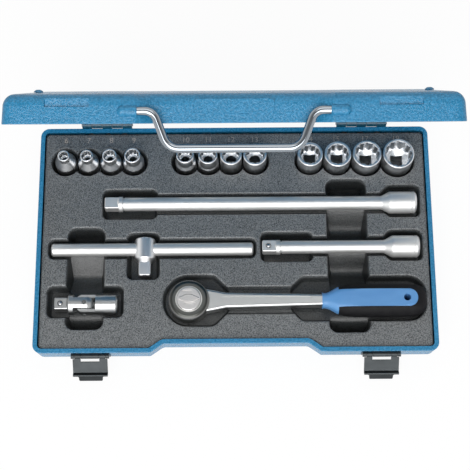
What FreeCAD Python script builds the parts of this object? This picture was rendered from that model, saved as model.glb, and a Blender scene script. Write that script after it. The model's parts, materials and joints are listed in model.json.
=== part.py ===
import FreeCAD, Part
import math
import os

os.makedirs("parts", exist_ok=True)

V = FreeCAD.Vector

# Case: heights and walls of the two pressed steel halves, whose plan follows from the tools
tool_margin = 11.45
front_margin = 40.8
back_margin = 28.5
base_height = 25.0
lid_height = 22.5
sheet = 1.0
wall_draft = 5.0
case_corner = 7.0
rim_width = 3.6
rim_edge = 0.6
rim_gap = 0.4
base_shoulder = 5.5
lid_shoulder = 9.0
panel_border = 19.0
panel_rise = 1.9

# Recess in the front of both halves for the carrying handle
recess_outer = 66.5
recess_inner = 56.5
recess_depth = 7.0
recess_corner = 5.0

# Hinges along the back
hinge_offset = 3.4
hinge_end_room = 54.0
hinge_width = 41.0
knuckle_radius = 3.2
hinge_pin_radius = 1.5
leaf_thickness = 1.2
leaf_height = 15.0
leaf_knuckles = 5
knuckle_gap = 0.3
lid_open_angle = 67.0

# Fits
running_fit = 0.05
seat_gap = 0.3
rivet_radius = 1.5
rivet_head_radius = 2.7
rivet_head_height = 0.9

# Carrying handle
handle_wire = 5.8
handle_pivot_height = 8.5
handle_pivot_inset = 1.5
handle_drop = 25.5
handle_half_grip = 45.0
handle_half_pivot = 54.5
handle_pivot_end = 76.0
handle_bend = 9.0
handle_corner = 11.0
handle_straight = 4.8
sleeve_wall = 1.1

# Latches: a lever on each bracket snaps its bead into a recess of the lid
latch_end_room = 45.0
latch_width = 27.0
latch_plate = 1.1
latch_pin_forward = 2.3
latch_pin_below = 1.5
latch_pin_radius = 0.9
latch_knuckle_radius = 1.9
latch_standoff = 0.8
latch_bead_height = 2.9
latch_bead_width = 2.4
latch_hang_angle = 128.0
latch_window = 14.5
latch_window_height = 4.2
lever_knuckle_end = 12.0
bracket_width = 29.6
bracket_height = 12.0
bracket_plate = 0.9
tongue_width = 18.5
tongue_length = 5.0
tongue_lift = 1.2
keeper_width = 30.0
keeper_low = 11.6
keeper_high = 18.6
keeper_depth = 3.0
keeper_clearance = 0.3

# Bare name panel pressed in the recess of the lid, and the stacking studs on top
plate_half_width = 27.5
plate_low = 6.4
plate_high = 16.8
plate_raise = 0.5
stud_end_room = 23.0
stud_side_room = 25.0
stud_radius = 3.2
stud_raise = 1.3

# Tool tray
tray_drop = 3.0
tray_wall = 1.5
tray_clearance = 0.4
tray_skirt = 13.0
pocket_draft = 10.0
pocket_edge = 1.2
floor_round = 1.5

# Drive squares and their sprung balls
drive = 9.5
drive_fit = 0.1
drive_length = 10.0
drive_chamfer = 0.7
ball_radius = 2.1
ball_proud = 0.9
ball_travel = 0.8

# Sockets: size across flats, outside diameter at the nut end
socket_noses = {
    6: 9.4, 7: 10.3, 8: 11.5, 9: 12.8,
    10: 14.1, 11: 15.4, 12: 17.4, 13: 18.7,
    14: 20.3, 15: 21.5, 17: 23.0, 19: 25.0,
}
left_sockets = (6, 7, 8, 9)
middle_sockets = (10, 11, 12, 13)
right_sockets = (14, 15, 17, 19)
left_socket_room = 20.6
middle_socket_start = -39.8
right_socket_room = 97.0
socket_row = 37.1
socket_length = 28.0
socket_body = 17.1
socket_body_height = 13.5
socket_spacing = 1.3
socket_pocket_depth = 13.5
socket_pocket_least = 11.7
socket_pocket_room = 2.0
nut_fit = 0.15

# Extension bars
long_bar_length = 250.0
long_bar_radius = 5.5
long_bar_margin = 12.3
long_row = 36.4
long_bar_above_tray = 1.0
short_bar_length = 125.0
short_bar_radius = 5.2
bar_gap = 7.1
short_row = 45.2
short_bar_above_tray = -1.0
bar_end_radius = 8.8
bar_end_length = 21.5
bar_flare_length = 6.5
collar_length = 4.5
collar_extra = 0.7

# Sliding handle
slide_bar_length = 161.0
slide_bar_radius = 5.2
row_step = 0.6
slide_bar_above_tray = -3.0
slide_head_radius = 8.35
slide_head_half = 8.4
slide_head_place = 74.75
slide_head_neck = 4.0

# Universal joint
joint_margin = 15.4
joint_above_tray = -2.5
joint_radius = 8.0
joint_length = 50.0
joint_centre = 24.0
joint_block = 8.8
joint_slot_gap = 0.2
joint_arm_half = 4.2
joint_pin_radius = 1.8
joint_ball_reach = 8.4
joint_slot_reach = 8.8

# Ratchet: head, drive and reversing gear
ratchet_margin = 9.1
ratchet_head_radius = 16.1
ratchet_head_height = 16.0
ratchet_head_above_tray = -6.0
head_roof = 2.4
cover_radius = 13.6
cover_thickness = 1.4
gear_teeth = 36
gear_tip = 9.8
gear_root = 9.0
gear_height = 8.0
gear_boss = 7.4
gear_room = 0.3
pawl_pivot = 13.4
pawl_face = 10.6
pawl_half = 6.0
pawl_pin = 1.2
dial_radius = 9.6
dial_sunk = 2.0
dial_proud = 2.0
dial_bar_raise = 2.0
dial_stem = 3.3
finger_reach = 7.0
finger_round = 1.9
finger_depth = 1.0
dial_crank = 2.0
crank_radius = 0.8

# Ratchet: shank and two part handle
shank_height = 10.0
shank_round = 2.0
shank_flare_width = 20.0
shank_root_width = 17.0
shank_neck_width = 12.4
shank_end_width = 9.0
tang = 8.0
tang_end = 160.0
handle_start = 104.3
handle_end = 185.3
handle_width = 26.0
handle_height = 20.0
bolster_end = 117.0
core_width = 14.0
core_end = 178.6
core_sunk = 0.4
hang_hole_x = 170.3
hang_hole_radius = 2.8

# Pockets of the tray
drive_well_radius = 10.0
grip_pocket_depth = 11.0
pocket_corner = 5.0
well_corner = 7.0
wave_drop = 1.2
wave_low = 3.4
head_corner = 19.0
grip_end_corner = 13.0

# Plan of the case and places of the tools, which follow from the sizes above
case_width = 2 * tool_margin + slide_bar_length + bar_gap + short_bar_length
case_depth = front_margin + short_row + long_row + socket_row + back_margin
half_width = case_width / 2
half_depth = case_depth / 2
hinge_half_span = half_width - hinge_end_room
latch_half_span = half_width - latch_end_room
stud_x = half_width - stud_end_room
stud_y = half_depth - stud_side_room
socket_row_y = half_depth - back_margin
long_bar_y = socket_row_y - socket_row
short_bar_y = long_bar_y - long_row
ratchet_y = short_bar_y - short_row
slide_bar_y = short_bar_y - row_step
joint_y = ratchet_y - row_step
long_bar_end = half_width - long_bar_margin
long_bar_tip_x = long_bar_end - long_bar_length
slide_bar_left = -half_width + tool_margin
slide_bar_right = slide_bar_left + slide_bar_length
slide_head_x = slide_bar_left + slide_head_place
short_bar_tip_x = slide_bar_right + bar_gap
short_bar_end = short_bar_tip_x + short_bar_length
joint_tip_x = -half_width + joint_margin
ratchet_x = half_width - ratchet_margin - handle_end
socket_groups = [
    (-half_width + left_socket_room, left_sockets),
    (middle_socket_start, middle_sockets),
    (half_width - right_socket_room, right_sockets),
]

# Pockets round the tools at the tray top: left, right, front, back, then slants of the two ends
long_grip_pocket = (long_bar_tip_x - 2.3, long_bar_tip_x + 42.3, long_bar_y - 12.2, long_bar_y + 12.9, 0, 3.2)
long_bar_pocket = (long_bar_tip_x + 9.3, long_bar_end - 10.7, long_bar_y - 8.4, long_bar_y + 8.8, 0, 0)
long_end_pocket = (long_bar_end - 29.7, long_bar_end + 3.5, long_bar_y - 11.6, long_bar_y + 15.6, 8.0, 0)
short_grip_pocket = (
    short_bar_tip_x - 1.3, short_bar_tip_x + 40.9, short_bar_y - 12.2, short_bar_y + 12.4, 0, 3.2
)
short_bar_pocket = (short_bar_tip_x + 23.4, short_bar_end - 11.6, short_bar_y - 7.6, short_bar_y + 8.8, 0, 0)
short_end_pocket = (short_bar_end - 31.1, short_bar_end + 2.9, short_bar_y - 11.9, short_bar_y + 13.7, 8.0, 0)
slide_bar_pocket = (slide_bar_left - 2.5, slide_bar_right + 2.4, slide_bar_y - 8.3, slide_bar_y + 8.2, 0, 0)
slide_head_pocket = (slide_head_x - 14.4, slide_head_x + 11.8, slide_bar_y - 25.6, slide_bar_y + 13.0, 0, 0)
joint_pocket = (joint_tip_x - 6.0, joint_tip_x + joint_length + 4.5, joint_y - 11.1, joint_y + 14.6, 0, 0)
head_pocket = (ratchet_x - 20.8, ratchet_x + 33.3, ratchet_y - 19.3, ratchet_y + 22.3, 12.2, 13.5)
neck_pocket = (ratchet_x + 11.4, ratchet_x + 111.4, ratchet_y - 9.6, ratchet_y + 12.4, 0, 0)
grip_pocket = (
    ratchet_x + 78.9, ratchet_x + handle_end + 1.1, ratchet_y - 15.8, ratchet_y + 20.8, 10.0, 8.0
)
left_finger_well = (-half_width + 24.3, -half_width + 54.3, joint_y - 20.8, slide_bar_y + 17.6, 0, 0)
right_finger_well = (half_width - 84.6, half_width - 52.0, ratchet_y - 24.9, long_bar_y + 20.8, 0, 0)

# Heights that follow from the sizes above
tray_top = base_height - tray_drop
hinge_y = case_depth / 2 + hinge_offset
hinge_z = base_height
lid_rim = base_height + rim_gap
slope = math.tan(math.radians(wall_draft))


def outline(points, radii, inset=0.0, z=0.0):
    # Closed wire of a polygon moved inward by inset, each corner rounded by an arc
    count = len(points)
    if not isinstance(radii, (list, tuple)):
        radii = [radii] * count
    corners = []
    for index in range(count):
        before = V(points[index - 1][0], points[index - 1][1], z)
        here = V(points[index][0], points[index][1], z)
        after = V(points[(index + 1) % count][0], points[(index + 1) % count][1], z)
        way_in = (here - before).normalize()
        way_out = (after - here).normalize()
        turn = math.atan2(way_in.cross(way_out).z, way_in.dot(way_out))
        inward = V(-way_in.y - way_out.y, way_in.x + way_out.x, 0)
        tip = here + inward * (inset / (1 + way_in.dot(way_out)))
        radius = radii[index] - inset if turn > 0 else radii[index] + inset
        if radii[index] == 0:
            corners.append((tip, tip, tip))
            continue
        radius = max(radius, 0.5)
        reach = radius * math.tan(abs(turn) / 2)
        inward.normalize()
        if turn < 0:
            inward = inward * -1
        middle = tip + inward * (radius / math.cos(turn / 2) - radius)
        corners.append((tip - way_in * reach, middle, tip + way_out * reach))
    edges = []
    for index in range(count):
        start, middle, end = corners[index]
        last = corners[index - 1][2]
        if (start - last).Length > 1e-6:
            edges.append(Part.makeLine(last, start))
        if (end - start).Length > 1e-6:
            edges.append(Part.Arc(start, middle, end).toShape())
    return Part.Wire(edges)


def prism(points, radii, low, high, inset=0.0):
    # Upright solid on a rounded polygon
    face = Part.Face(outline(points, radii, inset, low))
    return face.extrude(V(0, 0, high - low))


def rectangle(left, right, front, back):
    return [(left, front), (right, front), (right, back), (left, back)]


def slanted(left, right, front, back, left_slant, right_slant):
    # Rectangle whose ends are cut off at the corners
    points = []
    for x, y, slant, inward, turn in (
        (left, front, left_slant, 1, 1),
        (right, front, right_slant, -1, 1),
        (right, back, right_slant, -1, -1),
        (left, back, left_slant, 1, -1),
    ):
        across = (x + inward * slant, y)
        along = (x, y + turn * slant)
        if slant == 0:
            points.append((x, y))
        elif inward == turn:
            points += [along, across]
        else:
            points += [across, along]
    return points


def sections(points, radii, steps, ruled=True):
    # Solid through copies of one outline, each at its own inset and height
    wires = [outline(points, radii, inset, z) for inset, z in steps]
    return Part.makeLoft(wires, True, ruled)


def turned_x(points, radii=0.0):
    # Solid turned about the X axis from (x, radius) points
    return Part.Face(outline(points, radii)).revolve(V(0, 0, 0), V(1, 0, 0), 360)


def turned_z(points, radii=0.0):
    # Solid turned about the Z axis from (radius, z) points
    face = Part.Face(outline(points, radii))
    face.rotate(V(0, 0, 0), V(1, 0, 0), 90)
    return face.revolve(V(0, 0, 0), V(0, 0, 1), 360)


def joined(shapes):
    return shapes[0].fuse(shapes[1:]).removeSplitter()


def moved(shape, x, y, z):
    copy = shape.copy()
    copy.translate(V(x, y, z))
    return copy


def mirrored_x(shape):
    return shape.mirror(V(0, 0, 0), V(1, 0, 0))


def save(name, shape):
    shape.exportStep("parts/" + name + ".step")


# Plan of the case, seen from above, with the recess in the front edge
case_plan = [
    (-half_width, -half_depth),
    (-recess_outer, -half_depth),
    (-recess_inner, -half_depth + recess_depth),
    (recess_inner, -half_depth + recess_depth),
    (recess_outer, -half_depth),
    (half_width, -half_depth),
    (half_width, half_depth),
    (-half_width, half_depth),
]
case_radii = [case_corner] + [recess_corner] * 4 + [case_corner] * 3


def shell_profile(height, shoulder, border, rise, skin):
    # Inset and height of a pressed half from its rim to its flat panel, skin mm inside
    lean = math.radians(wall_draft)
    tilt = math.atan2(rise, border)
    turn = math.pi / 2 - tilt
    edge = height - rise
    centre_z = edge - shoulder * math.sin(turn)
    start_z = centre_z + shoulder * math.sin(lean)
    centre_inset = start_z * slope + shoulder * math.cos(lean)
    arc = []
    for step in range(9):
        angle = lean + (turn - lean) * step / 8
        reach = shoulder - skin
        arc.append((centre_inset - reach * math.cos(angle), centre_z + reach * math.sin(angle)))
    foot = skin / math.cos(lean)
    flat = (arc[-1][0] + border, arc[-1][1] + rise)
    return foot, arc, flat


def pressed_solid(height, shoulder, border, rise, skin):
    foot, arc, flat = shell_profile(height, shoulder, border, rise, skin)
    if skin > 0:
        wall = [(foot - slope, -1.0), arc[0]]
    else:
        wall = [(rim_edge, 0), (rim_edge * 0.3, rim_edge * 0.3), (rim_edge * slope, rim_edge), arc[0]]
    pieces = [sections(case_plan, case_radii, wall)]
    pieces.append(sections(case_plan, case_radii, arc, False))
    if border > 0:
        pieces.append(sections(case_plan, case_radii, [arc[-1], flat]))
    return pieces[0].fuse(pieces[1:])


def pressed_shell(height, shoulder, border, rise):
    # Thin pressed half standing on its rim, with the rim turned inward
    outer = pressed_solid(height, shoulder, border, rise, 0.0)
    inner = pressed_solid(height, shoulder, border, rise, sheet)
    shell = outer.cut(inner)
    lip = sections(case_plan, case_radii, [(sheet / 2, 0), (sheet / 2 + sheet * slope, sheet)])
    lip = lip.cut(prism(case_plan, case_radii, -1, sheet + 1, rim_width))
    return shell.fuse(lip).removeSplitter()


def on_wall(shape, rim_y):
    # Moves a shape drawn as (x, up the wall, out of the wall) to a front wall of the closed lid
    copy = shape.copy()
    copy.rotate(V(0, 0, 0), V(1, 0, 0), 90 - wall_draft)
    copy.translate(V(0, rim_y, lid_rim))
    return copy


def opened(shape):
    # Turns a piece of the closed lid to the open angle at rest
    copy = shape.copy()
    copy.rotate(V(0, hinge_y, hinge_z), V(1, 0, 0), -lid_open_angle)
    return copy


def rivet(grip):
    # Rivet along Z through sheets of total thickness grip, outer head on top
    head = rivet_head_radius
    low = -grip
    return turned_z([
        (0, low - rivet_head_height),
        (head * 0.6, low - rivet_head_height),
        (head, low),
        (rivet_radius, low),
        (rivet_radius, 0),
        (head, 0),
        (head * 0.6, rivet_head_height),
        (0, rivet_head_height),
    ])


def rivet_hole(grip):
    hole = Part.makeCylinder(rivet_radius + running_fit, grip + 2)
    hole.translate(V(0, 0, -grip - 1))
    return hole


# Hinges: knuckles round a pin, leaves riveted to the back walls
knuckle_pitch = hinge_width / leaf_knuckles
leaf_clear = knuckle_radius + 0.4
hinge_reach = hinge_offset * math.cos(math.radians(wall_draft))
hinge_grip = hinge_reach - knuckle_radius + leaf_thickness + sheet
rivet_drop = 10.0
rivet_places = [-hinge_width / 3, 0.0, hinge_width / 3]


def placed_rivets(make):
    # Copies of a rivet or its hole, drawn in the frame of a leaf that points down
    shapes = []
    for x in rivet_places:
        shape = make(hinge_grip)
        shape.rotate(V(0, 0, 0), V(1, 0, 0), -90)
        shape.translate(V(x, leaf_thickness - knuckle_radius, -rivet_drop))
        shapes.append(shape)
    return shapes


def hinge_leaf(own):
    # Leaf pointing down from the hinge axis, with the knuckles whose numbers are in own
    plate = Part.makeBox(hinge_width, leaf_thickness, leaf_height - leaf_clear)
    plate.translate(V(-hinge_width / 2, -knuckle_radius, -leaf_height))
    corners = [edge for edge in plate.Edges if abs(edge.Vertexes[0].Y - edge.Vertexes[1].Y) > 0.5]
    corners = [edge for edge in corners if edge.CenterOfMass.z < -leaf_height + 0.01]
    pieces = [plate.makeFillet(3.0, corners)]
    for index in own:
        start = -hinge_width / 2 + index * knuckle_pitch + knuckle_gap / 2
        width = knuckle_pitch - knuckle_gap
        tab = Part.makeBox(width, leaf_thickness, leaf_clear + 0.2)
        tab.translate(V(start, -knuckle_radius, -leaf_clear - 0.2))
        tube = Part.makeCylinder(knuckle_radius, width, V(start, 0, 0), V(1, 0, 0))
        pieces += [tab, tube]
    leaf = joined(pieces)
    bore = hinge_pin_radius + running_fit
    leaf = leaf.cut(Part.makeCylinder(bore, hinge_width + 2, V(-hinge_width / 2 - 1, 0, 0), V(1, 0, 0)))
    return leaf.cut(placed_rivets(rivet_hole))


def at_base_hinge(shape, x):
    copy = shape.copy()
    copy.rotate(V(0, 0, 0), V(1, 0, 0), -wall_draft)
    copy.translate(V(x, hinge_y, hinge_z))
    return copy


def at_lid_hinge(shape, x):
    # The lid leaf is the base leaf turned over the parting plane
    copy = shape.mirror(V(0, 0, 0), V(0, 0, 1))
    copy.rotate(V(0, 0, 0), V(1, 0, 0), wall_draft)
    copy.translate(V(x, hinge_y, hinge_z))
    return copy


base_knuckles = range(0, leaf_knuckles, 2)
lid_knuckles = range(1, leaf_knuckles, 2)
base_leaf = hinge_leaf(base_knuckles)
lid_leaf = hinge_leaf(lid_knuckles)
hinge_pin = Part.makeCylinder(hinge_pin_radius, hinge_width + 1, V(-hinge_width / 2 - 0.5, 0, 0), V(1, 0, 0))
hinge_sides = [("left", -hinge_half_span), ("right", hinge_half_span)]
base_rivets = []
lid_rivets = []
base_holes = []
lid_holes = []
for side, x in hinge_sides:
    save(side + "_hinge_base_leaf", at_base_hinge(base_leaf, x))
    save(side + "_hinge_lid_leaf", opened(at_lid_hinge(lid_leaf, x)))
    save(side + "_hinge_pin", moved(hinge_pin, x, hinge_y, hinge_z))
    base_rivets += [at_base_hinge(shape, x) for shape in placed_rivets(rivet)]
    lid_rivets += [opened(at_lid_hinge(shape, x)) for shape in placed_rivets(rivet)]
    base_holes += [at_base_hinge(shape, x) for shape in placed_rivets(rivet_hole)]
    lid_holes += [at_lid_hinge(shape, x) for shape in placed_rivets(rivet_hole)]
save("hinge_rivets_base", Part.makeCompound(base_rivets))
save("hinge_rivets_lid", Part.makeCompound(lid_rivets))

# Latch brackets: drawn about the pin, x along it, y out of the case, z up
latch_pin_y = -half_depth - latch_pin_forward
latch_pin_z = base_height - latch_pin_below
wall_reach = (latch_pin_forward + latch_pin_below * slope) * math.cos(math.radians(wall_draft))
latch_grip = bracket_plate + sheet + running_fit
middle_half = latch_window / 2 - knuckle_gap
end_start = lever_knuckle_end + knuckle_gap
latch_rivet_places = [-bracket_width / 3.2, bracket_width / 3.2]
latch_rivet_drop = 8.5


def along_x(radius, start, end):
    return Part.makeCylinder(radius, end - start, V(start, 0, 0), V(1, 0, 0))


def latch_rivets_of(make):
    shapes = []
    for x in latch_rivet_places:
        shape = make(latch_grip)
        shape.rotate(V(0, 0, 0), V(1, 0, 0), 90)
        shape.translate(V(x, wall_reach - running_fit - bracket_plate, -latch_rivet_drop))
        shapes.append(shape)
    return shapes


def latch_bracket():
    inner = wall_reach - running_fit
    plate = prism(
        rectangle(-bracket_width / 2, bracket_width / 2, -bracket_height - 2.4, -2.4), 1.0, 0, bracket_plate
    )
    plate.rotate(V(0, 0, 0), V(1, 0, 0), 90)
    plate.translate(V(0, inner, 0))
    pieces = [plate]
    spans = [(-bracket_width / 2, -end_start), (-middle_half, middle_half), (end_start, bracket_width / 2)]
    for start, end in spans:
        tab = Part.makeBox(end - start, bracket_plate, 3.2)
        tab.translate(V(start, inner - bracket_plate, -3.2))
        pieces += [tab, along_x(latch_knuckle_radius, start, end)]
    bracket = joined(pieces)
    bore = latch_pin_radius + running_fit
    bracket = bracket.cut(along_x(bore, -bracket_width, bracket_width))
    return bracket.cut(latch_rivets_of(rivet_hole))


def at_latch(shape, x, turn=0.0):
    copy = shape.copy()
    copy.rotate(V(0, 0, 0), V(1, 0, 0), turn)
    copy.translate(V(x, latch_pin_y, latch_pin_z))
    return copy


def latch_lever():
    # Shut lever: plate up the front, a bead toward the lid, a tongue curling out
    inner = latch_pin_forward - latch_standoff
    outer = inner - latch_plate
    bead_low = latch_pin_below + rim_gap + keeper_low + keeper_clearance
    bead_high = bead_low + latch_bead_width
    tip = bead_high + tongue_length
    profile = [
        (outer, 0),
        (inner, 0),
        (inner, bead_low - 0.6),
        (inner + latch_bead_height, bead_low + 0.3),
        (inner + latch_bead_height, bead_high - 0.9),
        (inner, bead_high + 0.6),
        (inner - tongue_lift, tip),
        (outer - tongue_lift, tip - 0.3),
        (outer, bead_high + 0.2),
    ]
    radii = [0, 0, 0.8, 0.5, 0.5, 0.8, 0.3, 0.3, 1.5]
    face = Part.Face(outline(profile, radii))
    face.rotate(V(0, 0, 0), V(1, 0, 0), 90)
    face.rotate(V(0, 0, 0), V(0, 0, 1), 90)
    plate = face.extrude(V(latch_width, 0, 0))
    plate.translate(V(-latch_width / 2, 0, 0))
    half = latch_width / 2
    blank = [
        (-half, -5),
        (half, -5),
        (half, bead_high + 0.5),
        (tongue_width / 2, bead_high + 0.5),
        (tongue_width / 2, tip + 1),
        (-tongue_width / 2, tip + 1),
        (-tongue_width / 2, bead_high + 0.5),
        (-half, bead_high + 0.5),
    ]
    trim = Part.Face(outline(blank, [0, 0, 1.5, 1.5, 3.0, 3.0, 1.5, 1.5])).extrude(V(0, 0, 20))
    trim.rotate(V(0, 0, 0), V(1, 0, 0), 90)
    trim.translate(V(0, 10, 0))
    plate = plate.common(trim)
    pieces = [plate]
    for start, end in ((-lever_knuckle_end, -latch_window / 2), (latch_window / 2, lever_knuckle_end)):
        pieces.append(along_x(latch_knuckle_radius, start, end))
    lever = joined(pieces)
    room = latch_knuckle_radius + knuckle_gap
    cuts = [along_x(latch_pin_radius + running_fit, -half, half)]
    window = Part.makeBox(latch_window, 12, latch_window_height + 6)
    window.translate(V(-latch_window / 2, -6, -6))
    cuts.append(window)
    for start in (-half - 1, lever_knuckle_end):
        notch = Part.makeBox(half + 1 - lever_knuckle_end, 12, room + 6)
        notch.translate(V(start, -6, -6))
        cuts.append(notch)
    return lever.cut(cuts)


bracket = latch_bracket()
lever = latch_lever()
latch_pin = along_x(latch_pin_radius, -bracket_width / 2, bracket_width / 2)
latch_sides = [("left", -latch_half_span), ("right", latch_half_span)]
latch_rivets = []
latch_holes = []
for side, x in latch_sides:
    save(side + "_latch_bracket", at_latch(bracket, x, wall_draft))
    save(side + "_latch_pin", at_latch(latch_pin, x))
    save(side + "_latch_lever", at_latch(lever, x, latch_hang_angle))
    latch_rivets += [at_latch(shape, x, wall_draft) for shape in latch_rivets_of(rivet)]
    latch_holes += [at_latch(shape, x, wall_draft) for shape in latch_rivets_of(rivet_hole)]
save("latch_rivets", Part.makeCompound(latch_rivets))

# Base shell, pierced for the rivets
base_raw = pressed_shell(base_height, base_shoulder, 0.0, 0.0)
base_shell = moved(base_raw.mirror(V(0, 0, 0), V(0, 0, 1)), 0, 0, base_height)
base_shell = base_shell.cut(base_holes + latch_holes)
save("base_shell", base_shell)

# Lid shell, drawn shut: latch recesses, handle sleeves, name panel, studs
lid_outer = moved(pressed_solid(lid_height, lid_shoulder, panel_border, panel_rise, 0.0), 0, 0, lid_rim)
lid_shell = moved(pressed_shell(lid_height, lid_shoulder, panel_border, panel_rise), 0, 0, lid_rim)
lid_parts = []
lid_cuts = list(lid_holes)
for side, x in latch_sides:
    floor_y = -half_depth + keeper_depth
    backing = prism(
        rectangle(x - keeper_width / 2 - sheet, x + keeper_width / 2 + sheet, -half_depth, floor_y + sheet),
        0, lid_rim + keeper_low - sheet, lid_rim + keeper_high + sheet,
    )
    lid_parts.append(backing.common(lid_outer))
    lid_cuts.append(prism(
        rectangle(x - keeper_width / 2, x + keeper_width / 2, -half_depth - 5, floor_y),
        0, lid_rim + keeper_low, lid_rim + keeper_high,
    ))
panel = sections(
    rectangle(-plate_half_width, plate_half_width, plate_low, plate_high), 3.0,
    [(0, -sheet / 2), (0, plate_raise * 0.3), (plate_raise, plate_raise)],
)
lid_parts.append(on_wall(panel, -half_depth + recess_depth))
sleeve_radius = handle_wire / 2 + running_fit + sleeve_wall
bend_turn = math.atan2(handle_drop, handle_half_pivot - handle_half_grip)
bend_start = handle_half_pivot + handle_bend * math.tan(bend_turn / 2)
sleeve_start = bend_start + handle_straight
bend_end = handle_half_pivot + 0.5
bend_drop = handle_bend - math.sqrt(handle_bend ** 2 - (bend_start - bend_end) ** 2)
bend_room = handle_wire / 2 + seat_gap
sleeve_end = handle_pivot_end + sleeve_wall + 2.0
sleeve = turned_x([
    (sleeve_start, 0),
    (sleeve_start, sleeve_radius - 0.6),
    (sleeve_start + 0.6, sleeve_radius),
    (sleeve_end - 2.0, sleeve_radius),
    (sleeve_end, sleeve_radius - 2.0),
    (sleeve_end, 0),
], [0, 0, 0, 1.5, 0, 0])
sleeve_bore = along_x(handle_wire / 2 + running_fit, bend_start - 1.0, handle_pivot_end + 0.5)
sleeve_relief = turned_x([
    (bend_end, 0), (bend_end, bend_room + bend_drop), (bend_start, bend_room), (bend_start, 0),
])
for shape, target in ((sleeve, lid_parts), (sleeve_bore, lid_cuts), (sleeve_relief, lid_cuts)):
    raised = moved(shape, 0, handle_pivot_height, -handle_pivot_inset)
    target.append(on_wall(raised, -half_depth))
    target.append(on_wall(mirrored_x(raised), -half_depth))
stud = turned_z([
    (0, -sheet / 2), (stud_radius, -sheet / 2), (stud_radius, 0.2),
    (stud_radius * 0.5, stud_raise), (0, stud_raise),
], [0, 0, 0, 1.2, 0])
for x in (-stud_x, stud_x):
    for y in (-stud_y, stud_y):
        lid_parts.append(moved(stud, x, y, lid_rim + lid_height))
lid_shell = lid_shell.fuse(lid_parts).cut(lid_cuts).removeSplitter()
save("lid_shell", opened(lid_shell))

# Carrying handle: round wire bent to a bail, its ends in the sleeves
bail_points = [
    (-handle_pivot_end, handle_drop), (-handle_pivot_end, 0), (-handle_half_pivot, 0),
    (-handle_half_grip, -handle_drop), (handle_half_grip, -handle_drop), (handle_half_pivot, 0),
    (handle_pivot_end, 0), (handle_pivot_end, handle_drop),
]
bail_radii = [0, 0, handle_bend, handle_corner, handle_corner, handle_bend, 0, 0]
bail_loop = outline(bail_points, bail_radii)
bail_path = Part.Wire([edge for edge in bail_loop.Edges if edge.CenterOfMass.y < 0.01])
wire_ring = Part.Wire(Part.makeCircle(handle_wire / 2, V(-handle_pivot_end, 0, 0), V(1, 0, 0)))
bail = bail_path.makePipeShell([wire_ring], True, False)
bail = on_wall(moved(bail, 0, handle_pivot_height, -handle_pivot_inset), -half_depth)
save("handle_bail", opened(bail))


def pocket(points, radii, floor, grow=0.0):
    # Tapered well sunk from the top of the tray, its upper edge rounded over
    depth = tray_top - floor
    lean = math.tan(math.radians(pocket_draft))
    if grow > 0:
        steps = [(-pocket_edge - grow, tray_top), (-grow, tray_top - pocket_edge)]
        steps.append((depth * lean - grow, floor - grow))
        return sections(points, radii, steps)
    steps = [
        (-pocket_edge, tray_top + 1),
        (-pocket_edge, tray_top),
        (-pocket_edge * 0.3, tray_top - pocket_edge * 0.3),
        (0, tray_top - pocket_edge),
        ((depth - floor_round) * lean, floor + floor_round),
        (depth * lean + floor_round * 0.7, floor),
    ]
    return sections(points, radii, steps)


def round_pocket(radius, floor, grow=0.0):
    # Round well for a standing socket, with the same taper and edge
    lean = math.tan(math.radians(pocket_draft))
    depth = tray_top - floor
    if grow > 0:
        return turned_z([
            (0, floor - grow), (radius - depth * lean + grow, floor - grow),
            (radius + grow, tray_top - pocket_edge), (radius + pocket_edge + grow, tray_top), (0, tray_top),
        ])
    return turned_z([
        (0, floor),
        (radius - depth * lean - floor_round, floor),
        (radius - (depth - floor_round) * lean, floor + floor_round),
        (radius, tray_top - pocket_edge),
        (radius + pocket_edge * 0.3, tray_top - pocket_edge * 0.3),
        (radius + pocket_edge, tray_top),
        (radius + pocket_edge, tray_top + 1),
        (0, tray_top + 1),
    ])


def floor_wave(sides, supports, drop):
    # Space above a wavy floor that rises under each tool, supports as (y, half width, height)
    front, back = sides[2], sides[3]
    points = [(back + 6, wave_low), (back - 5, wave_low)]
    edge = None
    for y, half, height in supports:
        if edge is not None:
            points.append(((edge + y + half) / 2, wave_low))
        crest = height - wave_drop
        points += [(y + half, crest), (y, crest), (y - half, crest)] if half else [(y, crest)]
        edge = y - half
    points += [(front + 4, wave_low), (front - 6, wave_low)]
    left = -case_width / 2
    ends = [V(left, points[0][0], tray_top + 2), V(left, points[-1][0], tray_top + 2)]
    line = [V(left, y, z - drop) for y, z in points]
    floor = Part.BSplineCurve()
    floor.interpolate(line)
    wire = Part.Wire([
        floor.toShape(),
        Part.makeLine(line[-1], ends[1]),
        Part.makeLine(ends[1], ends[0]),
        Part.makeLine(ends[0], line[0]),
    ])
    return Part.Face(wire).extrude(V(case_width, 0, 0))


# Sockets: place, widest diameter and pocket of each
socket_low = tray_top - socket_pocket_depth + seat_gap
socket_list = []
for start, sizes in socket_groups:
    x = start
    previous = None
    for size in sizes:
        wide = max(socket_body, socket_noses[size])
        if previous:
            x += (previous + wide) / 2 + socket_spacing
        socket_list.append((size, x, wide))
        previous = wide


def star(size, low, high):
    # Twelve point opening: two hexagons turned by thirty degrees
    shapes = []
    for turn in (0, 30):
        reach = (size + nut_fit) / math.sqrt(3)
        points = []
        for index in range(6):
            angle = math.radians(turn + 60 * index)
            points.append((reach * math.cos(angle), reach * math.sin(angle)))
        shapes.append(prism(points, 0, low, high))
    return shapes


def square_hole(low, high):
    half = drive / 2 + drive_fit
    return prism(rectangle(-half, half, -half, half), 0.8, low, high)


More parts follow.
